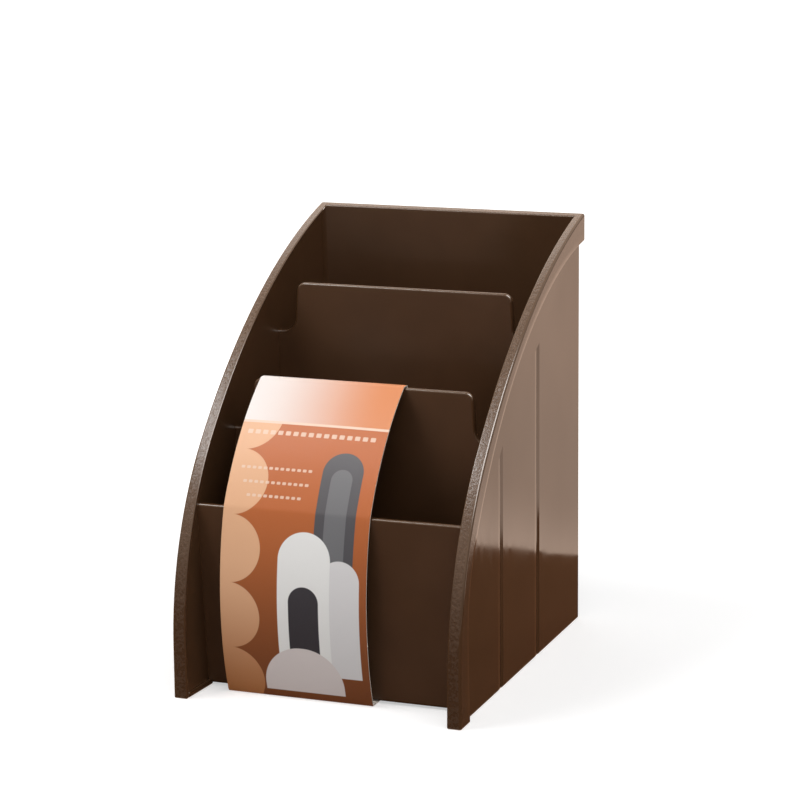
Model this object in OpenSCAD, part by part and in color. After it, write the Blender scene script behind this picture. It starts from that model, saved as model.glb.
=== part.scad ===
// Desk holder for remote controls: a one-piece moulding with three stepped pockets,
// dressed with the printed card sleeve that it is sold with.
// Millimetres. +Z is up and the pockets step up towards +Y, which is the back.
// The origin is on the resting surface, at the centre of the holder's footprint.

/* [Overall] */
// Width over the two side rims
width = 96; // [80:1:140]
// Depth from the side rims' front to the back lip
depth = 125.5; // [116:0.5:160]
// Height of the back wall
height = 141.2; // [130:0.2:190]

/* [Side walls] */
// Wall thickness at the bottom, rim included
wall_foot = 4.7; // [4:0.1:6]
// Wall thickness at the height of the back wall, rim included
wall_top = 3.0; // [2.4:0.1:3.6]
// How far the rim band stands out of the side panel
band_proud = 1.6; // [0.6:0.1:2]
// Height of the rim's upright front before it starts to curve
rim_rise = 17; // [5:1:30]
// Radius of the rim's lower curve
rim_r = 92; // [70:1:100]
// Lean, from the upright, at which the lower curve passes into the long upper one
rim_lean = 41.3; // [34:0.1:46]
// Width of the rim band at the foot
band_w = 8.5; // [5:0.5:12]
// Height at which the band's inner border starts to curve
band_rise = 28; // [15:1:36]
// Radius of the inner border's lower curve
band_r = 51.5; // [40:0.5:60]
// Lean at which the inner border passes into its long upper curve
band_lean = 28.3; // [24:0.1:34]
// Width of the long front slope of the grooves that mark the dividers on the side panels
groove_front = 3.5; // [1:0.1:6]
// Width of those grooves' short rear slope
groove_rear = 1.4; // [0.8:0.1:4]
// Depth of those grooves
groove_d = 0.4; // [0.2:0.05:0.8]
// How far the grooves end short of the band, measured upwards
groove_short = 12.5; // [2:0.5:20]

/* [Front panel] */
// Height of the front panel's top edge
panel_top = 60.4; // [45:0.2:75]
// Distance from the rims' front to the panel's top edge
panel_set_top = 11.9; // [6:0.1:14]
// Distance from the rims' front to the panel's foot
panel_set_foot = 15.9; // [14:0.1:20]
// Thickness of the front panel
panel_t = 2.2; // [1.6:0.1:3]

/* [Dividers and back] */
// Height of the front divider
front_div_h = 95.3; // [85:0.1:105]
// Centre of the front divider behind the rims' front
front_div_y = 42.8; // [36:0.2:50]
// Height of the rear divider
rear_div_h = 120.5; // [110:0.1:126]
// Centre of the rear divider behind the rims' front
rear_div_y = 79.6; // [70:0.2:90]
// Thickness of both dividers
div_t = 2.1; // [1.6:0.1:3]
// Gap between a divider's raised tongue and each side wall, at the shoulders
tongue_gap = 5.9; // [4:0.1:12]
// Lean of the tongue's sides, narrower towards the top
tongue_lean = 3; // [0:0.5:6]
// Height of the raised tongue above its shoulders
tongue_h = 16.5; // [10:0.5:24]
// Radius of the tongue's top corners
tongue_r = 3; // [1:0.5:6]
// Radius of the hollow corners where the tongue meets its shoulders
shoulder_r = 5; // [2:0.5:6]
// Thickness of the back wall
back_t = 2.0; // [1.6:0.1:3]
// Height of the lip round the back wall's top edge
lip_h = 9; // [5:0.5:14]
// How far that lip stands out behind the back wall
lip_proud = 1.0; // [0.4:0.1:1.5]
// Plan radius of the two back corners
corner_r = 0.8; // [0.6:0.1:3]

/* [Floor and feet] */
// Thickness of the pocket floor
floor_t = 2; // [1.5:0.1:3]
// Room under the floor and the front panel
floor_gap = 0.8; // [0.7:0.1:2]
// Height of the foot rail along the inside of each front rim
rail_h = 2.1; // [1:0.1:3]
// How far the foot rail stands in from the wall at its front end
rail_w_front = 0.2; // [0.1:0.1:1]
// How far the foot rail stands in from the wall under the front panel
rail_w_back = 1.2; // [0.3:0.1:2]
// Distance from the rims' front to the start of the foot rail
rail_start = 1; // [0.5:0.1:5]

/* [Card sleeve] */
// Width of the card
card_w = 49.2; // [30:0.2:60]
// Middle of the card, left of the holder's middle
card_shift = 10; // [5:0.5:13]
// Thickness of the card
card_t = 0.4; // [0.3:0.05:0.5]
// Clearance between the card and what it hangs on
card_gap = 0.2; // [0.1:0.05:0.2]
// Radius of the bowed stretch over the front pocket
card_upper_r = 90; // [70:1:140]
// Radius of the bowed stretch before the front panel
card_lower_r = 103; // [90:1:160]
// How far the card's lower fold stands before the front panel's foot
card_foot_out = 3.6; // [2:0.1:6]
// Length tucked behind the front divider
card_back_len = 28; // [10:1:45]
// Length tucked under the floor
card_under_len = 14; // [8:1:20]

/* [Hidden] */
$fn = 96;
brown = "#4a3527";
card_orange = "#c8895a";
// Lean of the line from the panel's top edge out to the card's crease there
card_crease_lean = 22;
// Overrun of a cut past the face that it opens
over = 2;
far = 3 * (width + depth + height);
back_y = depth - lip_proud;
floor_top = floor_gap + floor_t;
// Thinning of the side walls for each unit of height, from the draft of the pocket cores
draft = (wall_foot - wall_top) / height;

function half_inside(z) = width / 2 - wall_foot + draft * z;
function panel_front(z) =
    panel_set_foot + (panel_set_top - panel_set_foot) * (z - floor_gap) / (panel_top - floor_gap);
// Direction of a curve's outward normal where its tangent leans by a from the upright
function outward(a) = [-cos(a), sin(a)];
// Where two circles round a and b meet, on the right of the way from a to b
function meet(a, ra, b, rb) =
    let (way = b - a, gap = norm(way), u = way / gap)
    let (along = (gap * gap + ra * ra - rb * rb) / (2 * gap))
    a + along * u + sqrt(ra * ra - along * along) * [u[1], -u[0]];

// Swings children drawn in depth and height into place, extruded over a span of width
module across(x0, x1) {
    translate([x0, 0, 0])
        rotate([90, 0, 90])
            linear_extrude(x1 - x0)
                children();
}

// Extrudes children drawn in width and height over a span of depth
module along_depth(y0, y1) {
    translate([0, y1, 0])
        rotate([90, 0, 0])
            linear_extrude(y1 - y0)
                children();
}

// Region behind and below an outline that rises upright from [front, 0], bends by radius r
// to a lean, and runs on in one long arc to the point end
module stepped_side(front, rise, r, lean, end, low) {
    bend = [front + r, rise];
    join = bend + r * outward(lean);
    reach = end - join;
    long_r = (reach * reach) / (-2 * (reach * outward(lean)));
    intersection() {
        translate([front, low])
            square([end[0] - front, end[1] - low]);
        translate(join - long_r * outward(lean))
            circle(r = long_r, $fn = 4 * $fn);
        union() {
            translate([front, low])
                square([far, rise - low]);
            translate(bend)
                circle(r = r, $fn = 2 * $fn);
            polygon([
                bend,
                bend + far * outward(lean),
                bend + [-far * cos(lean), far],
                bend + [far, far],
                bend + [far, 0]
            ]);
        }
    }
}

module rim_side() {
    stepped_side(0, rim_rise, rim_r, rim_lean, [depth, height], 0);
}

module panel_side() {
    stepped_side(band_w, band_rise, band_r, band_lean, [depth + over, height - lip_h], -over);
}

// Plan of the holder, square in front and rounded at the back
module plan(half_w, back, r) {
    translate([-half_w, -over])
        square([2 * half_w, back - r + over]);
    translate([-half_w + r, back - 2 * r])
        square([2 * (half_w - r), 2 * r]);
    for (s = [-1, 1])
        translate([s * (half_w - r), back - r])
            circle(r = r);
}

// A block with the rims' outline from the side and a plan of its own
module block(half_w, back) {
    intersection() {
        across(-half_w, half_w)
            rim_side();
        linear_extrude(height + over)
            plan(half_w, back, corner_r);
    }
}

// The grooves on the right side panel, which end below the band
module grooves() {
    spread = 1 + over / groove_d;
    intersection() {
        for (y = [front_div_y, rear_div_y])
            translate([width / 2 - band_proud, y, -over])
                linear_extrude(height)
                    polygon([[-groove_d, 0], [over, -groove_front * spread], [over, groove_rear * spread]]);
        across(width / 2 - wall_top, width / 2 + over)
            translate([0, -groove_short])
                panel_side();
    }
}

// The outer form: a body inside, and the rim band and back lip that stand out of it
module envelope() {
    difference() {
        union() {
            block(width / 2 - band_proud, back_y);
            difference() {
                block(width / 2, depth);
                across(-width, width)
                    panel_side();
            }
        }
        for (s = [0, 1])
            mirror([s, 0, 0])
                grooves();
    }
}

// The space between the side walls, wider towards the top
module between_walls() {
    top = height + over;
    along_depth(-over, depth + over)
        polygon([
            [-half_inside(-over), -over],
            [half_inside(-over), -over],
            [half_inside(top), top],
            [-half_inside(top), top]
        ]);
}

module pocket(front, back) {
    top = height + over;
    polygon([[front, floor_top], [back, floor_top], [back, top], [front, top]]);
}

// Depth and height outline of everything that is open between the side walls
module open_side() {
    top = height + over;
    polygon([
        [-over, -over],
        [panel_front(-over), -over],
        [panel_set_top, panel_top],
        [panel_set_top + panel_t, panel_top],
        [panel_front(floor_top) + panel_t, floor_top],
        [front_div_y - div_t / 2, floor_top],
        [front_div_y - div_t / 2, top],
        [-over, top]
    ]);
    pocket(front_div_y + div_t / 2, rear_div_y - div_t / 2);
    pocket(rear_div_y + div_t / 2, back_y - back_t);
    translate([0, -over])
        square([back_y - back_t, over + floor_gap]);
}

// Front outline of a divider: shoulders across the holder and a raised tongue between them
module divider_face(h) {
    shoulder = h - tongue_h;
    foot_w = half_inside(shoulder) - tongue_gap;
    // Where the rounded top corners and the hollow corners touch the leaning sides
    side = [cos(tongue_lean), sin(tongue_lean)];
    slip = tan(tongue_lean);
    round_x = foot_w - tongue_h * slip - tongue_r * (1 - side[1]) / side[0];
    round_touch = [round_x, h - tongue_r] + tongue_r * side;
    hollow_x = foot_w + shoulder_r * (1 / side[0] - slip);
    hollow_touch = [hollow_x, shoulder + shoulder_r] - shoulder_r * side;
    translate([-width / 2, -over])
        square([width, shoulder + over]);
    difference() {
        translate([-hollow_x, shoulder - over])
            square([2 * hollow_x, hollow_touch[1] - shoulder + over]);
        for (s = [-1, 1])
            translate([s * hollow_x, shoulder + shoulder_r])
                circle(r = shoulder_r);
    }
    polygon([
        [-hollow_touch[0], hollow_touch[1]],
        [-hollow_touch[0], shoulder - over],
        [hollow_touch[0], shoulder - over],
        hollow_touch,
        round_touch,
        [round_x, h],
        [-round_x, h],
        [-round_touch[0], round_touch[1]]
    ]);
    for (s = [-1, 1])
        translate([s * round_x, h - tongue_r])
            circle(r = tongue_r);
}

// What is cut away above a divider
module over_divider(y, h) {
    along_depth(y - div_t / 2, y + div_t / 2)
        difference() {
            translate([-width / 2, 0])
                square([width, height + over]);
            divider_face(h);
        }
}

// The rail inside the right front rim, which widens towards the front panel
module foot_rail() {
    end = panel_set_foot + panel_t / 2;
    inner = half_inside(0);
    linear_extrude(rail_h)
        polygon([
            [inner - rail_w_front, rail_start],
            [inner + wall_top / 2, rail_start],
            [inner + wall_top / 2, end],
            [inner - rail_w_back, end]
        ]);
}

module holder() {
    color(brown)
        translate([0, -depth / 2, 0]) {
            difference() {
                envelope();
                intersection() {
                    between_walls();
                    union() {
                        across(-width / 2, width / 2)
                            open_side();
                        over_divider(front_div_y, front_div_h);
                        over_divider(rear_div_y, rear_div_h);
                    }
                }
            }
            for (s = [0, 1])
                mirror([s, 0, 0])
                    foot_rail();
        }
}

// Outline of the space that the card wraps, seen from the side: it is creased over the front
// divider and over the panel's top edge, bows before the panel and is folded under the floor
module card_wrap(grow) {
    top = front_div_h + card_gap;
    back = front_div_y + div_t / 2 + card_gap;
    foot = floor_gap - card_gap;
    top_crease = [front_div_y - div_t / 2 - card_gap, top];
    panel_crease = [panel_set_top, panel_top] + card_gap * outward(card_crease_lean);
    foot_crease = [panel_set_foot - card_foot_out, foot];
    intersection() {
        translate(meet(panel_crease, card_upper_r, top_crease, card_upper_r))
            circle(r = card_upper_r + grow, $fn = 4 * $fn);
        translate(meet(foot_crease, card_lower_r, panel_crease, card_lower_r))
            circle(r = card_lower_r + grow, $fn = 4 * $fn);
        translate([0, foot - grow])
            square([back + grow, top - foot + 2 * grow]);
    }
}

module card_sleeve() {
    under_end = panel_set_foot - card_foot_out + card_under_len;
    color(card_orange)
        translate([-card_shift, -depth / 2, 0])
            across(-card_w / 2, card_w / 2)
                difference() {
                    card_wrap(card_t);
                    card_wrap(0);
                    translate([under_end, -over])
                        square([depth, front_div_h - card_back_len + over]);
                }
}

holder();
card_sleeve();
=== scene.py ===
import math

import bmesh
import bpy
from mathutils import Matrix, Vector


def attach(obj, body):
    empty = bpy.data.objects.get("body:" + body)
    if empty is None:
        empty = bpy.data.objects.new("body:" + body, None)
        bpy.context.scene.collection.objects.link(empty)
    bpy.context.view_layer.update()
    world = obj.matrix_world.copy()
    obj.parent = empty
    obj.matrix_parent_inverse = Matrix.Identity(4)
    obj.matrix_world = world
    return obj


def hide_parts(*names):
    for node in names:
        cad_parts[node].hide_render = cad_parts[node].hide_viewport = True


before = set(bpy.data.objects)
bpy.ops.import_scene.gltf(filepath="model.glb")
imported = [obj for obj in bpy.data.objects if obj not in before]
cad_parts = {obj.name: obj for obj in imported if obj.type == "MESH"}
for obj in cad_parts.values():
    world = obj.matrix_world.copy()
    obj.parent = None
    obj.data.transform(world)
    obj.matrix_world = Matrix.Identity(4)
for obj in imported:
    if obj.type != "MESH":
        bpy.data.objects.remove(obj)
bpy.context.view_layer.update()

# Lengths are in metres unless a name says otherwise
MM = 0.001

# The camera, solved from the photograph's frame of 800 by 800 pixels
FRAME_PX = 800
FOCAL_PX = 2630.2
CENTRE_PX = (454.1, 319.1)
CAMERA_AT = Vector((0.30607, -0.77743, 0.26491))
CAMERA_AZIMUTH = 19.963
CAMERA_ELEVATION = 10.319
CAMERA_ROLL = -0.321
SENSOR_MM = 36
NEAREST = 0.01
FARTHEST = 50

# The holder's outline from the side, as in its source: y runs back from the rims' front
DEPTH = 125.5 * MM
HEIGHT = 141.2 * MM
HALF_WIDTH = 48 * MM
BAND_PROUD = 1.6 * MM
RIM_RISE = 17 * MM
RIM_R = 92 * MM
RIM_LEAN = 41.3
BAND_W = 8.5 * MM
BAND_RISE = 28 * MM
BAND_R = 51.5 * MM
BAND_LEAN = 28.3
OVER = 2 * MM
WALL_TOP = 3.0 * MM
DIVIDERS_AT = (42.8 * MM, 79.6 * MM)
GROOVE_FRONT = 3.5 * MM
GROOVE_REAR = 1.4 * MM
CORNER_R = 0.8 * MM
LIP_PROUD = 1.0 * MM
LIP_H = 9 * MM
FRONT_Y = -DEPTH / 2

# Radii of the moulding's edges: the second is that of the rims' corners and of the pockets' tops
EDGE_R = 0.45 * MM
RIM_EDGE_R = 0.8 * MM
EDGE_STEPS = 4

# The weight with which the large faces alone set the shading beside them
LARGE_FACES_ONLY = 100

# Turns in degrees: faces merge up to the first, a curve runs on up to the second, and an edge counts
# as a corner from the third
FLAT_ANGLE = 0.3
CURVE_ANGLE = 12
SHARP_ANGLE = 26

# Slack in merging points and in telling what one lies on, from the closest to the loosest
WELD = 0.001 * MM
HAIR = 0.01 * MM
ARC_SLACK = 0.02 * MM
TOUCH = 0.05 * MM
NEAR = 0.1 * MM
GROOVE_SLACK = 0.2 * MM
PANEL_SLACK = 0.5 * MM

# The share of a normal from which a face looks that way, and how far in the polished outside reaches
FACING = 0.5
POLISH_SIDE = 2.5 * MM
POLISH_BACK = 2 * MM

# The back corners, where faces that look only a little back are polished too
CORNER_SIDE = 5 * MM
CORNER_BACK = 6 * MM
CORNER_FACING = 0.1

# How far from the rim bands' inner borders their faces start to fall away, and by how much; the degrees
# between the points of the line where they do; and the length over which the fall fades in at its ends
CROWN_W = 2.8 * MM
CROWN_DROP = 0.4 * MM
CROWN_STEP = 3
CROWN_FADE = 12 * MM

# The card sleeve's path, as in its source
CARD_W = 49.2 * MM
CARD_SHIFT = 10 * MM
CARD_T = 0.4 * MM
CARD_GAP = 0.2 * MM
CARD_UPPER_R = 90 * MM
CARD_LOWER_R = 103 * MM
CARD_FOOT_OUT = 3.6 * MM
CARD_BACK_LEN = 28 * MM
CARD_UNDER_LEN = 14 * MM
CARD_CREASE_LEAN = 22
DIVIDER_TOP = 95.3 * MM
DIVIDER_T = 2.1 * MM
PANEL_TOP = 60.4 * MM
PANEL_SET_TOP = 11.9 * MM
PANEL_SET_FOOT = 15.9 * MM
FLOOR_GAP = 0.8 * MM

# The card's mesh: its steps, its extra bow, and the turn in radians up to which its shading runs on
CARD_STEP = 0.7 * MM
CARD_COLUMNS = 36
CARD_CROWN = 0.35 * MM
CARD_CROWN_POWER = 0.8
CARD_SOFT_TURN = 0.8


def outward(lean):
    """Outward normal, as depth and height, of a curve that leans back by so many degrees."""
    a = math.radians(lean)
    return Vector((-math.cos(a), math.sin(a)))


def add_camera():
    azimuth, elevation, roll = (math.radians(a) for a in (CAMERA_AZIMUTH, CAMERA_ELEVATION, CAMERA_ROLL))
    forward = Vector((
        -math.sin(azimuth) * math.cos(elevation),
        math.cos(azimuth) * math.cos(elevation),
        -math.sin(elevation),
    ))
    right = forward.cross(Vector((0, 0, 1))).normalized()
    up = right.cross(forward)
    turned_right = right * math.cos(roll) + up * math.sin(roll)
    turned_up = up * math.cos(roll) - right * math.sin(roll)
    data = bpy.data.cameras.new("camera")
    data.sensor_width = SENSOR_MM
    data.lens = SENSOR_MM * FOCAL_PX / FRAME_PX
    data.shift_x = (FRAME_PX / 2 - CENTRE_PX[0]) / FRAME_PX
    data.shift_y = (CENTRE_PX[1] - FRAME_PX / 2) / FRAME_PX
    data.clip_start = NEAREST
    data.clip_end = FARTHEST
    camera = bpy.data.objects.new("camera", data)
    turn = Matrix((turned_right, turned_up, -forward)).transposed().to_4x4()
    camera.matrix_world = Matrix.Translation(CAMERA_AT) @ turn
    bpy.context.scene.collection.objects.link(camera)
    bpy.context.scene.camera = camera


# The part of a noise's range over which what it drives goes from one end to the other
NOISE_LOW, NOISE_HIGH = 0.3, 0.7


class Nodes:
    """A material's node tree, with short calls for the nodes that the materials share."""

    def __init__(self, name, tree=None):
        self.material = None
        if tree is None:
            self.material = bpy.data.materials.new(name)
            self.material.use_nodes = True
            tree = self.material.node_tree
        self.tree = tree
        self.tree.nodes.clear()

    def add(self, kind, inputs=None, **settings):
        node = self.tree.nodes.new(kind)
        for key, value in settings.items():
            setattr(node, key, value)
        for key, value in (inputs or {}).items():
            self.put(value, node.inputs[key])
        return node

    def put(self, value, socket):
        if isinstance(value, bpy.types.NodeSocket):
            self.tree.links.new(value, socket)
        else:
            socket.default_value = value

    def math(self, operation, *values):
        node = self.add("ShaderNodeMath", operation=operation)
        for value, socket in zip(values, node.inputs):
            self.put(value, socket)
        return node.outputs[0]

    def smooth(self, value, low, high, out_low=0.0, out_high=1.0):
        """value carried from low..high to out_low..out_high with a soft step."""
        inputs = {
            "Value": value,
            "From Min": low,
            "From Max": high,
            "To Min": out_low,
            "To Max": out_high,
        }
        node = self.add("ShaderNodeMapRange", inputs, interpolation_type="SMOOTHSTEP")
        return node.outputs["Result"]

    def vary(self, noise, low, high):
        """A value that follows a noise from low to high."""
        return self.smooth(noise, NOISE_LOW, NOISE_HIGH, low, high)

    def mix(self, factor, a, b):
        node = self.add("ShaderNodeMix", {"Factor": factor}, data_type="RGBA")
        self.put(a, node.inputs[6])
        self.put(b, node.inputs[7])
        return node.outputs[2]

    def place(self, scale=(1, 1, 1)):
        """Object coordinates in metres, stretched by scale."""
        where = self.add("ShaderNodeTexCoord").outputs["Object"]
        return self.add("ShaderNodeMapping", {"Vector": where, "Scale": scale}).outputs["Vector"]

    def noise(self, size, detail=2.0, rough=0.5, stretch=(1, 1, 1)):
        inputs = {"Vector": self.place(stretch), "Scale": 1 / size, "Detail": detail, "Roughness": rough}
        return self.add("ShaderNodeTexNoise", inputs).outputs["Fac"]

    def bump(self, height, distance, normal=None):
        inputs = {"Height": height, "Distance": distance}
        node = self.add("ShaderNodeBump", inputs)
        if normal is not None:
            self.put(normal, node.inputs["Normal"])
        return node.outputs["Normal"]

    def surface(self, colour, rough, ior, normal):
        """The material with these on its shader."""
        shader = self.add("ShaderNodeBsdfPrincipled", {
            "Base Color": colour,
            "Roughness": rough,
            "IOR": ior,
            "Normal": normal,
        })
        return self.finish(shader.outputs[0])

    def finish(self, shader):
        out = self.add("ShaderNodeOutputMaterial")
        self.tree.links.new(shader, out.inputs["Surface"])
        return self.material


BROWN = (0.064, 0.0305, 0.0138, 1)
BROWN_DEEP = (0.057, 0.027, 0.012, 1)
BROWN_DARK = (0.049, 0.023, 0.010, 1)
BROWN_WORN = (0.060, 0.032, 0.017, 1)
PLASTIC_IOR = 1.5

# The part of a noise's range over which the plastic's colour goes from deep to full
CLOUD_LOW, CLOUD_HIGH = 0.35, 0.65

# Each finish: the size of its noises, the range of its roughness, and the depth of its relief
GLOSS_CLOUDS = 22 * MM
GLOSS_HAZE = 3 * MM
GLOSS_HAZE_STRETCH = (1, 1, 0.25)
GLOSS_ROUGH = (0.075, 0.13)
GLOSS_RIPPLE = 26 * MM
GLOSS_RIPPLE_DEPTH = 0.14 * MM
GLOSS_STREAKS = 5 * MM
GLOSS_STREAKS_STRETCH = (1, 1, 0.1)
GLOSS_STREAKS_DEPTH = 0.004 * MM
SATIN_CLOUDS = 18 * MM
SATIN_WEAR = 25 * MM
SATIN_ROUGH = (0.28, 0.32)
SATIN_GRAIN = 1.6 * MM
SATIN_GRAIN_DEPTH = 0.003 * MM
TEXTURE_GRAIN = 1.0 * MM
TEXTURE_HARSHNESS = 0.65
TEXTURE_BLOTCH = 2.5 * MM
TEXTURE_BLOTCH_SHARE = 0.35
TEXTURE_WORN_FROM, TEXTURE_WORN_TO = 0.60, 0.80
RIM_RELIEF = 0.15 * MM
RIM_ROUGH = (0.20, 0.36)
BAND_RELIEF = 0.04 * MM
BAND_ROUGH = (0.12, 0.24)


def clouded_brown(n, size):
    """The plastic's colour, with a faint large variation."""
    return n.mix(n.smooth(n.noise(size), CLOUD_LOW, CLOUD_HIGH), BROWN_DEEP, BROWN)


def gloss_brown():
    """The polished outside of the side and back walls, with the faint ripple of a moulded panel."""
    n = Nodes("brown_gloss")
    haze = n.noise(GLOSS_HAZE, detail=4, stretch=GLOSS_HAZE_STRETCH)
    normal = n.bump(n.noise(GLOSS_RIPPLE, detail=1), GLOSS_RIPPLE_DEPTH)
    streaks = n.noise(GLOSS_STREAKS, detail=1, stretch=GLOSS_STREAKS_STRETCH)
    normal = n.bump(streaks, GLOSS_STREAKS_DEPTH, normal)
    colour = clouded_brown(n, GLOSS_CLOUDS)
    return n.surface(colour, n.vary(haze, *GLOSS_ROUGH), PLASTIC_IOR, normal)


def satin_brown():
    """The pockets, dividers and front panel, drawn off a plain core."""
    n = Nodes("brown_satin")
    rough = n.vary(n.noise(SATIN_WEAR, detail=1), *SATIN_ROUGH)
    normal = n.bump(n.noise(SATIN_GRAIN, detail=1), SATIN_GRAIN_DEPTH)
    return n.surface(clouded_brown(n, SATIN_CLOUDS), rough, PLASTIC_IOR, normal)


def textured_brown(name, relief, rough):
    """The rims' front and outer faces, finely grained, with paler high spots."""
    n = Nodes(name)
    grain = n.noise(TEXTURE_GRAIN, detail=3, rough=TEXTURE_HARSHNESS)
    blotch = n.math("MULTIPLY", n.noise(TEXTURE_BLOTCH, detail=2), TEXTURE_BLOTCH_SHARE)
    high = n.smooth(n.math("ADD", grain, blotch), TEXTURE_WORN_FROM, TEXTURE_WORN_TO)
    colour = n.mix(high, BROWN_DARK, BROWN_WORN)
    return n.surface(colour, n.vary(grain, *rough), PLASTIC_IOR, n.bump(grain, relief))


class Outline:
    """An outline seen from the side, as in the source: upright, then bent, then one long curve."""

    def __init__(self, front, rise, radius, lean, end):
        self.front, self.rise, self.radius, self.lean = front, rise, radius, lean
        self.bend = Vector((front + radius, rise))
        self.join = self.bend + radius * outward(lean)
        reach = Vector(end) - self.join
        self.long_radius = reach.length_squared / (-2 * reach.dot(outward(lean)))
        self.long_centre = self.join - self.long_radius * outward(lean)

    def before(self, point):
        """How far a point of the scene lies before the outline, seen from the side."""
        p = Vector((point.y - FRONT_Y, point.z))
        if p.y < self.rise:
            return self.front - p.x
        if p.y < self.join.y:
            return (p - self.bend).length - self.radius
        return (p - self.long_centre).length - self.long_radius

    def height(self, depth):
        """Height of the long curve at a depth."""
        return self.long_centre.y + math.sqrt(self.long_radius ** 2 - (self.long_centre.x - depth) ** 2)

    def ahead(self, distance, back):
        """Points of a line that runs before the outline by a distance, up to the depth back."""
        lean = 0.0
        points = []
        while lean < self.lean:
            points.append(self.bend + (self.radius + distance) * outward(lean))
            lean += CROWN_STEP
        reach = (self.long_centre.x - back) / (self.long_radius + distance)
        last = math.degrees(math.acos(reach))
        count = math.ceil((last - self.lean) / CROWN_STEP)
        for i in range(count + 1):
            at = self.lean + (last - self.lean) * i / count
            points.append(self.long_centre + (self.long_radius + distance) * outward(at))
        return points


RIM = Outline(0, RIM_RISE, RIM_R, RIM_LEAN, (DEPTH, HEIGHT))
BAND_BORDER = Outline(BAND_W, BAND_RISE, BAND_R, BAND_LEAN, (DEPTH + OVER, HEIGHT - LIP_H))

GLOSS, SATIN, TEXTURED, FINE_TEXTURED = range(4)
Y_AXIS, Z_AXIS = 1, 2


def finish_of(face):
    """Which of the moulding's finishes a face has."""
    middle = face.calc_center_median()
    sideways = abs(face.normal.x)
    if sideways < FACING and all(abs(RIM.before(v.co)) < NEAR for v in face.verts):
        return TEXTURED
    if sideways > FACING and abs(middle.x) > HALF_WIDTH - CROWN_DROP:
        return FINE_TEXTURED
    if sideways > FACING and abs(middle.x) > HALF_WIDTH - POLISH_SIDE:
        return GLOSS
    if face.normal.y > FACING and middle.y > -FRONT_Y - POLISH_BACK:
        return GLOSS
    in_corner = abs(middle.x) > HALF_WIDTH - CORNER_SIDE and middle.y > -FRONT_Y - CORNER_BACK
    if in_corner and face.normal.y > CORNER_FACING:
        return GLOSS
    return SATIN


def in_groove(edge):
    """Whether an edge belongs to one of the side panels' grooves."""
    middle = (edge.verts[0].co + edge.verts[1].co) / 2
    on_panel = abs(abs(middle.x) - (HALF_WIDTH - BAND_PROUD)) < PANEL_SLACK
    behind = (middle.y - FRONT_Y - y for y in DIVIDERS_AT)
    front, rear = -GROOVE_FRONT - GROOVE_SLACK, GROOVE_REAR + GROOVE_SLACK
    return on_panel and any(front < b < rear for b in behind)


def is_rounded(edge):
    """Whether an edge is rounded: each corner that stands out, apart from the grooves' own."""
    if not edge.is_convex or in_groove(edge):
        return False
    return math.degrees(edge.calc_face_angle(0)) > SHARP_ANGLE


def is_rim_edge(edge):
    """Whether an edge runs between a rim's front and its outer face."""
    return all(abs(RIM.before(v.co)) < NEAR and abs(v.co.x) > HALF_WIDTH - NEAR for v in edge.verts)


def is_pocket_edge(edge):
    """Whether an edge runs along the top of the front panel, a divider or the back wall."""
    inner_wall = HALF_WIDTH - WALL_TOP + NEAR
    return all(RIM.before(v.co) < -NEAR and abs(v.co.x) < inner_wall for v in edge.verts)


def is_crisp(edge):
    """Whether the shading breaks at an edge: the corners that turn in, and the grooves' valleys."""
    return not is_rounded(edge) and math.degrees(edge.calc_face_angle(0)) > CURVE_ANGLE


def square_back_corners(bm):
    """Draws each back corner's fine arc into one upright edge, which is rounded with the rest."""
    for half_width, back in ((HALF_WIDTH, DEPTH), (HALF_WIDTH - BAND_PROUD, DEPTH - LIP_PROUD)):
        under_lip = BAND_BORDER.height(back)
        for vert in bm.verts:
            from_side = half_width - abs(vert.co.x)
            from_back = FRONT_Y + back - vert.co.y
            nearest, farthest = sorted((from_side, from_back))
            in_corner = -ARC_SLACK < nearest and farthest < CORNER_R + ARC_SLACK
            radial = Vector((CORNER_R - from_side, CORNER_R - from_back)).length
            if in_corner and abs(radial - CORNER_R) < ARC_SLACK:
                vert.co.x = math.copysign(half_width, vert.co.x)
                vert.co.y = FRONT_Y + back
                vert.co.z = min((0, under_lip, HEIGHT), key=lambda level: abs(level - vert.co.z))
    bmesh.ops.remove_doubles(bm, verts=bm.verts, dist=TOUCH)


def is_band_side(face):
    """Whether a face is the outer face of a rim band, which runs on into the lip."""
    wide = face.calc_area() > BAND_W * HEIGHT / 2
    return wide and abs(face.calc_center_median().x) > HALF_WIDTH - NEAR


def edge_point(face, test, along, at):
    """A new vertex on the face's edge that passes a test and crosses the value at of one coordinate."""
    for edge in face.edges:
        a, b = edge.verts
        low, high = sorted((a.co[along], b.co[along]))
        if test(a.co) and test(b.co) and low < at < high:
            share = (at - a.co[along]) / (b.co[along] - a.co[along])
            return bmesh.utils.edge_split(edge, a, share)[1]
    raise ValueError("the band has no edge there")


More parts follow.
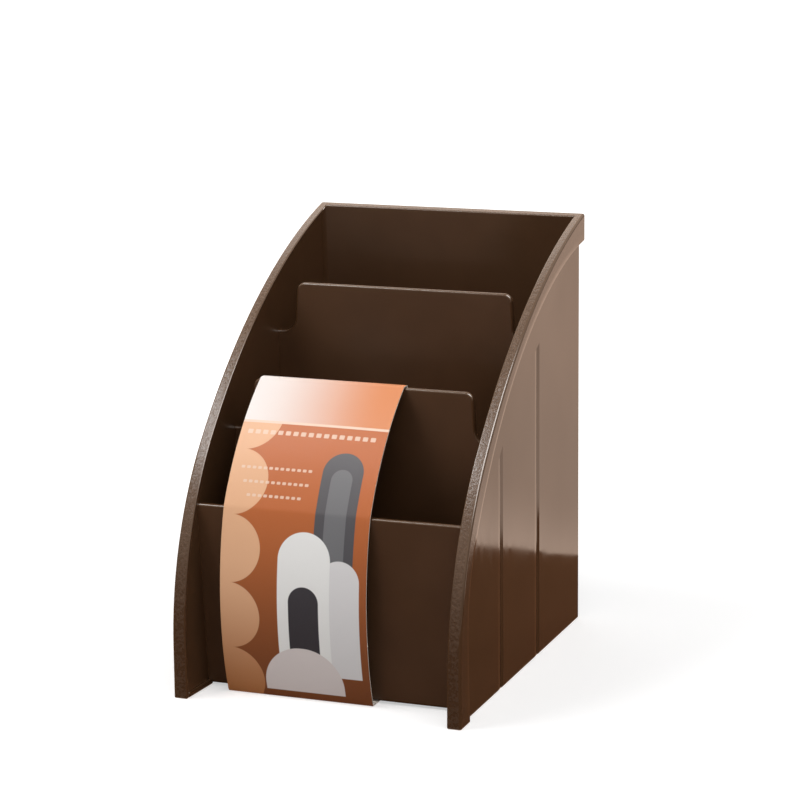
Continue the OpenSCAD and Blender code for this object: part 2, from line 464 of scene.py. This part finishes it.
def crown_bands(bm):
    """Lets the rim bands' outer faces fall away a little towards their inner borders."""
    for band in [face for face in bm.faces if is_band_side(face)]:
        x = band.calc_center_median().x
        foot = min(v.co.z for v in band.verts)
        back = max(v.co.y for v in band.verts)
        path = BAND_BORDER.ahead(CROWN_W, back - FRONT_Y)
        end = path.pop()
        low = edge_point(band, lambda p: p.z < foot + HAIR, Y_AXIS, FRONT_Y + BAND_W - CROWN_W)
        high = edge_point(band, lambda p: p.y > back - HAIR, Z_AXIS, end.y)
        coords = [(x, FRONT_Y + p.x, p.y) for p in path]
        other = bmesh.utils.face_split(band, low, high, coords=coords)[0]
        strip = min(band, other, key=lambda face: face.calc_area())
        strip.material_index = GLOSS
        bmesh.ops.triangulate(bm, faces=[strip])
    for vert in bm.verts:
        near_border = -TOUCH < BAND_BORDER.before(vert.co) < EDGE_R + TOUCH
        if near_border and abs(vert.co.x) > HALF_WIDTH - EDGE_R - TOUCH:
            to_end = min(vert.co.z, -FRONT_Y - EDGE_R - vert.co.y)
            share = max(0.0, min(1.0, to_end / CROWN_FADE))
            vert.co.x -= math.copysign(CROWN_DROP * share, vert.co.x)


def keep_within(bm):
    """Holds the rounded corners within the moulding's own width and depth."""
    for vert in bm.verts:
        vert.co.x = max(-HALF_WIDTH, min(HALF_WIDTH, vert.co.x))
        vert.co.y = min(-FRONT_Y, vert.co.y)


def add_holder():
    """The moulding: the CAD solid's surfaces with their edges rounded and their finishes sorted."""
    bm = bmesh.new()
    bm.from_mesh(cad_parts["holder"].data)
    bmesh.ops.remove_doubles(bm, verts=bm.verts, dist=WELD)
    square_back_corners(bm)
    bmesh.ops.dissolve_limit(bm, angle_limit=math.radians(FLAT_ANGLE), verts=bm.verts, edges=bm.edges)
    for face in bm.faces:
        face.smooth = True
        face.material_index = finish_of(face)
    weight = bm.edges.layers.float.new("bevel_weight_edge")
    for edge in bm.edges:
        if is_rounded(edge):
            wider = is_rim_edge(edge) or is_pocket_edge(edge)
            edge[weight] = 1.0 if wider else EDGE_R / RIM_EDGE_R
        edge.smooth = not is_crisp(edge)
    mesh = bpy.data.meshes.new("holder_shell")
    bm.to_mesh(mesh)
    bm.free()
    rim_finish = textured_brown("brown_textured", RIM_RELIEF, RIM_ROUGH)
    band_finish = textured_brown("brown_fine_textured", BAND_RELIEF, BAND_ROUGH)
    for material in (gloss_brown(), satin_brown(), rim_finish, band_finish):
        mesh.materials.append(material)
    piece = bpy.data.objects.new("holder_shell", mesh)
    bpy.context.scene.collection.objects.link(piece)
    bevel = piece.modifiers.new("edges", "BEVEL")
    bevel.limit_method = "WEIGHT"
    bevel.width = RIM_EDGE_R
    bevel.segments = EDGE_STEPS
    bevel.material = GLOSS
    bevel.use_clamp_overlap = False
    apply_modifiers(piece)
    bm = bmesh.new()
    bm.from_mesh(piece.data)
    keep_within(bm)
    crown_bands(bm)
    bm.to_mesh(piece.data)
    bm.free()
    shade = piece.modifiers.new("shade", "WEIGHTED_NORMAL")
    shade.weight = LARGE_FACES_ONLY
    shade.keep_sharp = True
    apply_modifiers(piece)
    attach(piece, "root")
    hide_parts("holder")


def apply_modifiers(piece):
    """Gives the piece the mesh that its modifiers make, and takes them off."""
    graph = bpy.context.evaluated_depsgraph_get()
    shaped = piece.evaluated_get(graph)
    mesh = bpy.data.meshes.new_from_object(shaped, preserve_all_data_layers=True, depsgraph=graph)
    old = piece.data
    piece.modifiers.clear()
    piece.data = mesh
    mesh.name = old.name + "_mesh"
    bpy.data.meshes.remove(old)


def meet(a, ra, b, rb):
    """Where two circles round a and b meet, on the right of the way from a to b."""
    way = b - a
    ahead = way.normalized()
    along = (way.length_squared + ra * ra - rb * rb) / (2 * way.length)
    return a + along * ahead + math.sqrt(ra * ra - along * along) * Vector((ahead.y, -ahead.x))


def arc(centre, start, end, radius, step):
    """Points from start to just before end on a circle, in depth and height."""
    first = math.atan2(start.y - centre.y, start.x - centre.x) % math.tau
    last = math.atan2(end.y - centre.y, end.x - centre.x) % math.tau
    count = max(2, round(abs(last - first) * radius / step))
    angles = (first + (last - first) * i / count for i in range(count))
    return [centre + radius * Vector((math.cos(a), math.sin(a))) for a in angles]


def line(start, end, step):
    """Points from start to just before end on a straight line."""
    count = max(2, round((end - start).length / step))
    return [start + (end - start) * (i / count) for i in range(count)]


def card_path():
    """The card's inner face from the side, from the flap behind the divider to the tuck under the floor,
    with the distance along it of the top crease, the panel's crease and the foot's crease."""
    front_face = DIVIDERS_AT[0] - DIVIDER_T / 2 - CARD_GAP
    rear_face = DIVIDERS_AT[0] + DIVIDER_T / 2 + CARD_GAP
    top = DIVIDER_TOP + CARD_GAP
    foot = FLOOR_GAP - CARD_GAP
    top_crease = Vector((front_face, top))
    panel_crease = Vector((PANEL_SET_TOP, PANEL_TOP)) + CARD_GAP * outward(CARD_CREASE_LEAN)
    foot_crease = Vector((PANEL_SET_FOOT - CARD_FOOT_OUT, foot))
    upper = meet(panel_crease, CARD_UPPER_R, top_crease, CARD_UPPER_R)
    lower = meet(foot_crease, CARD_LOWER_R, panel_crease, CARD_LOWER_R)
    stretches = [
        line(Vector((rear_face, DIVIDER_TOP - CARD_BACK_LEN)), Vector((rear_face, top)), CARD_STEP),
        line(Vector((rear_face, top)), top_crease, CARD_STEP / 2),
        arc(upper, top_crease, panel_crease, CARD_UPPER_R, CARD_STEP),
        arc(lower, panel_crease, foot_crease, CARD_LOWER_R, CARD_STEP),
        line(foot_crease, foot_crease + Vector((CARD_UNDER_LEN, 0)), CARD_STEP),
    ]
    path = [p for stretch in stretches for p in stretch]
    path.append(foot_crease + Vector((CARD_UNDER_LEN, 0)))
    counts = [len(stretch) for stretch in stretches]
    creases = [sum(counts[:i]) for i in (2, 3, 4)]
    return path, creases


def distances(path):
    """Distance along the path at each of its points."""
    total = [0.0]
    for a, b in zip(path, path[1:]):
        total.append(total[-1] + (b - a).length)
    return total


def card_normals(path):
    """Outward normal at each point of the path, halved between its two sides."""
    normals = []
    for i in range(len(path)):
        before = path[max(i - 1, 0)]
        after = path[min(i + 1, len(path) - 1)]
        ahead = (after - before).normalized()
        normals.append(Vector((ahead.y, -ahead.x)))
    return normals


def add_card():
    """The printed card: a bent sheet whose creases are shaded soft, bowed a little more along its
    middle.
    """
    path, creases = card_path()
    along = distances(path)
    normals = card_normals(path)
    front_start, panel_at, front_end = (along[i] for i in creases)
    bm = bmesh.new()
    uv = bm.loops.layers.uv.new("print")
    inner, outer = [], []
    for point, normal, distance in zip(path, normals, along):
        middle_crown = CARD_CROWN * bow(distance, front_start, panel_at, front_end)
        inner.append([])
        outer.append([])
        for j in range(CARD_COLUMNS + 1):
            u = j / CARD_COLUMNS
            x = -CARD_SHIFT + (u - 0.5) * CARD_W
            crown = middle_crown * math.sin(math.pi * u) ** CARD_CROWN_POWER
            at = point + normal * crown
            out = point + normal * (crown + CARD_T)
            inner[-1].append(bm.verts.new((x, FRONT_Y + at.x, at.y)))
            outer[-1].append(bm.verts.new((x, FRONT_Y + out.x, out.y)))
    last = len(path) - 1
    for i in range(last):
        for j in range(CARD_COLUMNS):
            corners = ((i, j), (i, j + 1), (i + 1, j + 1), (i + 1, j))
            printed = bm.faces.new([outer[r][c] for r, c in corners])
            for loop, (r, c) in zip(printed.loops, corners):
                loop[uv].uv = (c / CARD_COLUMNS, 1 - along[r] / along[-1])
            back = bm.faces.new((inner[i][j], inner[i + 1][j], inner[i + 1][j + 1], inner[i][j + 1]))
            back.material_index = 1
        for j in (0, CARD_COLUMNS):
            side = bm.faces.new((inner[i][j], outer[i][j], outer[i + 1][j], inner[i + 1][j]))
            side.material_index = 1
    for i in (0, last):
        for j in range(CARD_COLUMNS):
            side = bm.faces.new((inner[i][j], outer[i][j], outer[i][j + 1], inner[i][j + 1]))
            side.material_index = 1
    bmesh.ops.recalc_face_normals(bm, faces=bm.faces)
    for face in bm.faces:
        face.smooth = True
    for edge in bm.edges:
        one_paper = len({f.material_index for f in edge.link_faces}) == 1
        edge.smooth = one_paper and edge.calc_face_angle(0) < CARD_SOFT_TURN
    mesh = bpy.data.meshes.new("card_sheet")
    bm.to_mesh(mesh)
    bm.free()
    mesh.materials.append(card_print(along[-1], front_start))
    mesh.materials.append(card_paper())
    piece = bpy.data.objects.new("card_sheet", mesh)
    bpy.context.scene.collection.objects.link(piece)
    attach(piece, "root")
    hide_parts("card_sleeve")


def bow(at, start, crease, end):
    """How much of the card's crown a place along it has: none at a crease, all midway between two."""
    if at <= start or at >= end:
        return 0.0
    low, high = (start, crease) if at < crease else (crease, end)
    return math.sin(math.pi * (at - low) / (high - low)) ** 2


# The card's print, in millimetres: across from its left edge, and down from its top crease
# The head's pale cream is print with a painted sheen on it
PALE_WITH_PAINTED_SHEEN = (0.76, 0.71, 0.685, 1)
PEACH = (0.59, 0.215, 0.083, 1)
ORANGE = (0.43, 0.115, 0.027, 1)
# The deep orange and the deep scallop colour are deeper print with painted shade in them
RUST_AND_PAINTED_SHADE = (0.18, 0.053, 0.012, 1)
SCALLOP_PALE = (0.71, 0.405, 0.235, 1)
SCALLOP_DEEP_AND_SHADE = (0.40, 0.145, 0.038, 1)
LINE_CREAM = (0.76, 0.57, 0.45, 1)
SLATE = (0.058, 0.062, 0.074, 1)
ASH = (0.135, 0.142, 0.155, 1)
INK = (0.030, 0.032, 0.042, 1)
WHITE_GREY = (0.80, 0.80, 0.79, 1)
COOL_GREY = (0.68, 0.67, 0.68, 1)
WARM_GREY = (0.67, 0.61, 0.60, 1)
# The head grows paler towards its left: a print gradient with a painted sheen
HEAD_SHEEN_FADE = (-2, 46)
# The field and the scallops darken towards the bottom: deeper print with painted shade
FIELD_SHADE_FADE = (34, 112)
SCALLOP_SHADE_FADE = (62, 116)
TITLE_LINE = 17.5
TITLE_LINE_W = 0.9
SCALLOP_R = 10.75
SCALLOP_X = 2.6
SCALLOP_FIRST = 16.8
SCALLOP_STEP = 21.3
SOFT = 0.12

# Rows of dashes: first and last place across, place down, height, step
DASH_ROWS = (
    (2.5, 46.4, 21.2, 1.5, 2.6),
    (3.4, 27.8, 33.4, 0.9, 1.9),
    (5.0, 28.4, 38.0, 0.9, 1.9),
    (7.0, 25.6, 42.4, 0.9, 1.9),
)
DASH_FILL = 0.66
DASH_CORNER_R = 0.3
DASH_STRENGTH = 0.8

# Plain arches: left, right, top, foot, corner radius, colour
ARCHES = (
    (31.0, 44.5, 26.5, 80.0, 6.75, SLATE),
    (34.2, 41.3, 32.0, 80.0, 3.55, ASH),
    (33.5, 46.8, 60.5, 98.5, 6.65, COOL_GREY),
    (19.5, 37.0, 52.5, 95.0, 8.75, WHITE_GREY),
    (23.2, 33.3, 69.5, 95.0, 5.05, INK),
    (13.8, 40.4, 89.5, 105.0, 13.0, WARM_GREY),
)

# The card's paper: the size of its fibres and waves, their depth, and its roughness
PRINT_FIBRE = 0.6 * MM
PRINT_FIBRE_DEPTH = 0.006 * MM
PRINT_WAVE = 9 * MM
PRINT_WAVE_DEPTH = 0.06 * MM
PRINT_ROUGH = (0.42, 0.52)
PRINT_IOR = 1.45
PAPER_FIBRE = 0.5 * MM
PAPER_FIBRE_DEPTH = 0.02 * MM
PAPER_ROUGH = 0.75
PAPER_IOR = 1.5
PAPER_DARK = (0.62, 0.58, 0.52, 1)
PAPER_PALE = (0.76, 0.73, 0.67, 1)


def rounded_bar(n, a, b, left, right, top, bottom, radius):
    """Mask of a bar with rounded corners in the print's own millimetres."""
    reach = []
    for place, low, high in ((a, left, right), (b, top, bottom)):
        off = n.math("ABSOLUTE", n.math("SUBTRACT", place, (low + high) / 2))
        reach.append(n.math("SUBTRACT", off, (high - low) / 2 - radius))
    outside = [n.math("MAXIMUM", r, 0.0) for r in reach]
    squares = [n.math("MULTIPLY", o, o) for o in outside]
    corner = n.math("SQRT", n.math("ADD", *squares))
    inside = n.math("MINIMUM", n.math("MAXIMUM", *reach), 0.0)
    away = n.math("ADD", corner, inside)
    return n.smooth(away, radius - SOFT, radius + SOFT, 1, 0)


def arch(n, a, b, left, right, top, foot, radius):
    """Mask of a bar with a rounded head and a flat foot."""
    bar = rounded_bar(n, a, b, left, right, top, foot + radius, radius)
    return n.math("MULTIPLY", bar, n.smooth(b, foot - SOFT, foot + SOFT, 1, 0))


def dashes(n, a, b, first, last, down, height, step):
    """Mask of a row of short dashes."""
    along = n.math("SUBTRACT", a, first)
    local = n.math("FLOORED_MODULO", along, step)
    top, foot = down - height / 2, down + height / 2
    dash = rounded_bar(n, local, b, 0, step * DASH_FILL, top, foot, DASH_CORNER_R)
    count = round((last - first) / step)
    within = n.smooth(along, -SOFT, 0, 0, DASH_STRENGTH)
    before_end = n.smooth(along, count * step - SOFT, count * step, 1, 0)
    return n.math("MULTIPLY", dash, n.math("MULTIPLY", within, before_end))


def scallops(n, a, b):
    """Mask of the row of half discs down the print's left side."""
    nearest = n.math("SUBTRACT", b, SCALLOP_FIRST - SCALLOP_STEP / 2)
    local = n.math("SUBTRACT", n.math("FLOORED_MODULO", nearest, SCALLOP_STEP), SCALLOP_STEP / 2)
    off_x = n.math("SUBTRACT", a, SCALLOP_X)
    squares = [n.math("MULTIPLY", off, off) for off in (off_x, local)]
    away = n.math("SQRT", n.math("ADD", *squares))
    disc = n.smooth(away, SCALLOP_R - SOFT, SCALLOP_R + SOFT, 1, 0)
    strip = n.smooth(a, SCALLOP_X - SOFT, SCALLOP_X + SOFT, 1, 0)
    return n.math("MAXIMUM", disc, strip)


def card_print(total, top):
    """The printed face: cream head, orange field, scalloped side, and plain shapes as its print, with a
    painted sheen on the head's left and painted shade that darkens the field and the scallops towards
    the bottom.
    """
    n = Nodes("card_print")
    where = n.add("ShaderNodeUVMap", uv_map="print").outputs["UV"]
    parts = n.add("ShaderNodeSeparateXYZ", {"Vector": where})
    a = n.math("MULTIPLY", parts.outputs["X"], CARD_W / MM)
    b = n.math("MULTIPLY_ADD", parts.outputs["Y"], -total / MM, (total - top) / MM)

    below_head = n.smooth(b, TITLE_LINE - SOFT, TITLE_LINE + SOFT)
    # Paler towards the head's left: print with a painted sheen
    head = n.mix(n.smooth(a, *HEAD_SHEEN_FADE), PALE_WITH_PAINTED_SHEEN, PEACH)
    # The field darkens towards the bottom: deeper print with painted shade
    colour = n.mix(below_head, head, n.mix(n.smooth(b, *FIELD_SHADE_FADE), ORANGE, RUST_AND_PAINTED_SHADE))
    scallop = n.math("MULTIPLY", scallops(n, a, b), below_head)
    # The scallops darken towards the bottom in the same way: deeper print with painted shade
    colour = n.mix(scallop, colour, n.mix(n.smooth(b, *SCALLOP_SHADE_FADE), SCALLOP_PALE, SCALLOP_DEEP_AND_SHADE))
    from_line = n.math("ABSOLUTE", n.math("SUBTRACT", b, TITLE_LINE))
    title_line = n.smooth(from_line, TITLE_LINE_W / 2 - SOFT, TITLE_LINE_W / 2 + SOFT, 1, 0)
    colour = n.mix(title_line, colour, LINE_CREAM)
    for row in DASH_ROWS:
        colour = n.mix(dashes(n, a, b, *row), colour, LINE_CREAM)
    for *outline, tint in ARCHES:
        colour = n.mix(arch(n, a, b, *outline), colour, tint)

    fibre = n.noise(PRINT_FIBRE, detail=3)
    normal = n.bump(n.noise(PRINT_WAVE, detail=2), PRINT_WAVE_DEPTH)
    normal = n.bump(fibre, PRINT_FIBRE_DEPTH, normal)
    return n.surface(colour, n.vary(fibre, *PRINT_ROUGH), PRINT_IOR, normal)


def card_paper():
    """The card's bare back and cut edges."""
    n = Nodes("card_paper")
    fibre = n.noise(PAPER_FIBRE, detail=4)
    colour = n.mix(fibre, PAPER_DARK, PAPER_PALE)
    return n.surface(colour, PAPER_ROUGH, PAPER_IOR, n.bump(fibre, PAPER_FIBRE_DEPTH))


# The floor: its size, what it throws back, and how its own white grows away from the holder's shadow
FLOOR_HALF = 4.0
FLOOR_BOUNCE = (0.50, 0.48, 0.46, 1)
FLOOR_LIT = (0.6, 0.6, 0.6, 1)
FLOOR_WHITE_OVER = (0.08, 0.5)
FLOOR_WHITE = (0.5, 1.0)
WHITE = (1, 1, 1, 1)

# The dark table top that only reflections see, in two planes, so that it ends nearer on the right
TABLE_HALF = 1.2
TABLE_FRONT = -1.6
TABLE_STEP = 0.05
TABLE_BACK = 0.139
TABLE_RIGHT = 0.19
TABLE_LIFT = 0.3 * MM
TABLE_GRAIN = 60 * MM
TABLE_GRAIN_STRETCH = (0.2, 1, 1)
TABLE_DARK = (0.232, 0.097, 0.047, 1)
TABLE_PALE = (0.300, 0.127, 0.062, 1)

# The room that only reflections see. On the floor: where its far side begins and ends in depth, and
# the border of its right side, as a slope across and a width
ROOM_FAR_OVER = (0.3, 0.62)
ROOM_SIDE_SLOPE = -0.75
ROOM_SIDE_OVER = (0.0, 0.15)
ROOM_NEAR_COLOUR = (1.12, 0.80, 0.62, 1)
ROOM_FAR_COLOUR = (1.28, 0.90, 0.69, 1)
ROOM_SIDE_COLOUR = (2.0, 1.48, 1.18, 1)

# Above the floor: walls that turn into a ceiling, and one bright round window, with angles in degrees
WORLD_LIGHT = (0.52, 0.52, 0.52, 1)
CEILING_OVER = (0.0, 0.55)
ROOM_WALL_COLOUR = (0.50, 0.37, 0.29, 1)
ROOM_CEILING_COLOUR = (1.92, 1.46, 1.13, 1)
GLINT_AZIMUTH = 57
GLINT_ELEVATION = 58
GLINT_INNER = 14
GLINT_OUTER = 28
GLINT_COLOUR = (13.0, 12.2, 11.6, 1)

# The lamps: name, place, width, height, watts. All aim at one point inside the holder
LAMPS = (
    ("left_window", (-0.522, -0.352, 0.97), 0.5, 0.25, 5.3),
    ("right_window", (0.376, -0.294, 1.006), 0.75, 0.36, 3.8),
    ("rear_window", (-0.38, 0.66, 0.86), 0.45, 0.45, 0.8),
)
LAMP_AIM = Vector((0, 0, 0.07))


def plane(name, x0, x1, y0, y1, z, material):
    """A level rectangle of the stage."""
    mesh = bpy.data.meshes.new(name)
    mesh.from_pydata([(x0, y0, z), (x1, y0, z), (x1, y1, z), (x0, y1, z)], [], [(0, 1, 2, 3)])
    mesh.materials.append(material)
    piece = bpy.data.objects.new(name, mesh)
    bpy.context.scene.collection.objects.link(piece)
    return piece


def floor_material():
    """White to the eye, with the holder's shadow near it, and a warm pale room to reflections."""
    n = Nodes("floor")
    path = n.add("ShaderNodeLightPath")
    seen = n.math("MAXIMUM", path.outputs["Is Camera Ray"], path.outputs["Is Transmission Ray"])
    where = n.add("ShaderNodeNewGeometry").outputs["Position"]
    parts = n.add("ShaderNodeSeparateXYZ", {"Vector": where})
    away = n.add("ShaderNodeVectorMath", {0: where}, operation="LENGTH").outputs["Value"]
    plain = n.add("ShaderNodeBsdfDiffuse", {"Color": FLOOR_BOUNCE}).outputs[0]
    lit = n.add("ShaderNodeBsdfDiffuse", {"Color": FLOOR_LIT}).outputs[0]
    lift = n.smooth(away, *FLOOR_WHITE_OVER, *FLOOR_WHITE)
    glow = n.add("ShaderNodeEmission", {"Color": WHITE, "Strength": lift}).outputs[0]
    white = n.add("ShaderNodeAddShader", {0: lit, 1: glow}).outputs[0]
    far = n.smooth(parts.outputs["Y"], *ROOM_FAR_OVER)
    beside = n.math("MULTIPLY_ADD", parts.outputs["X"], ROOM_SIDE_SLOPE, parts.outputs["Y"])
    near_colour = n.mix(n.smooth(beside, *ROOM_SIDE_OVER), ROOM_SIDE_COLOUR, ROOM_NEAR_COLOUR)
    room = n.add("ShaderNodeEmission", {"Color": n.mix(far, near_colour, ROOM_FAR_COLOUR)}).outputs[0]
    direct = n.add("ShaderNodeMixShader", {0: seen, 1: plain, 2: white}).outputs[0]
    mirrored = path.outputs["Is Glossy Ray"]
    mixed = n.add("ShaderNodeMixShader", {0: mirrored, 1: direct, 2: room})
    return n.finish(mixed.outputs[0])


def table_material():
    """A dark brown top with a faint grain along it."""
    n = Nodes("dark_table")
    grain = n.noise(TABLE_GRAIN, detail=3, stretch=TABLE_GRAIN_STRETCH)
    colour = n.mix(grain, TABLE_DARK, TABLE_PALE)
    shader = n.add("ShaderNodeBsdfDiffuse", {"Color": colour})
    return n.finish(shader.outputs[0])


def add_lamp(name, at, width, height, power):
    data = bpy.data.lights.new(name, "AREA")
    data.shape = "RECTANGLE"
    data.size = width
    data.size_y = height
    data.energy = power
    lamp = bpy.data.objects.new(name, data)
    lamp.location = at
    lamp.rotation_euler = (LAMP_AIM - Vector(at)).to_track_quat("-Z", "Y").to_euler()
    bpy.context.scene.collection.objects.link(lamp)


def add_world():
    """Even light, white to the eye, and to reflections the warm room with its one bright window."""
    world = bpy.data.worlds.new("world")
    world.use_nodes = True
    bpy.context.scene.world = world
    n = Nodes("world", world.node_tree)
    path = n.add("ShaderNodeLightPath")
    seen = n.math("MAXIMUM", path.outputs["Is Camera Ray"], path.outputs["Is Transmission Ray"])
    even = n.mix(seen, WORLD_LIGHT, WHITE)
    towards = n.add("ShaderNodeTexCoord").outputs["Generated"]
    upward = n.add("ShaderNodeSeparateXYZ", {"Vector": towards})
    ceiling = n.smooth(upward.outputs["Z"], *CEILING_OVER)
    room = n.mix(ceiling, ROOM_WALL_COLOUR, ROOM_CEILING_COLOUR)
    azimuth, elevation = math.radians(GLINT_AZIMUTH), math.radians(GLINT_ELEVATION)
    glint_way = (
        math.sin(azimuth) * math.cos(elevation),
        -math.cos(azimuth) * math.cos(elevation),
        math.sin(elevation),
    )
    turned = n.add("ShaderNodeVectorMath", {0: towards, 1: glint_way}, operation="DOT_PRODUCT")
    inner, outer = (math.cos(math.radians(angle)) for angle in (GLINT_INNER, GLINT_OUTER))
    room = n.mix(n.smooth(turned.outputs["Value"], outer, inner), room, GLINT_COLOUR)
    colour = n.mix(path.outputs["Is Glossy Ray"], even, room)
    sky = n.add("ShaderNodeBackground", {"Color": colour, "Strength": 1.0})
    out = n.add("ShaderNodeOutputWorld")
    n.put(sky.outputs[0], out.inputs["Surface"])


def add_stage():
    plane("floor", -FLOOR_HALF, FLOOR_HALF, -FLOOR_HALF, FLOOR_HALF, 0, floor_material())
    wood = table_material()
    near = (-TABLE_HALF, TABLE_HALF, TABLE_FRONT, TABLE_STEP, TABLE_LIFT)
    far = (-TABLE_HALF, TABLE_RIGHT, TABLE_STEP, TABLE_BACK, TABLE_LIFT)
    for name, edges in (("mirrored_table", near), ("mirrored_table_back", far)):
        table = plane(name, *edges, wood)
        table.visible_camera = False
        table.visible_diffuse = False
        table.visible_shadow = False
        table.visible_transmission = False
    add_world()
    for lamp in LAMPS:
        add_lamp(*lamp)


add_camera()
add_holder()
add_card()
add_stage()

bpy.context.scene.view_settings.view_transform = "Standard"
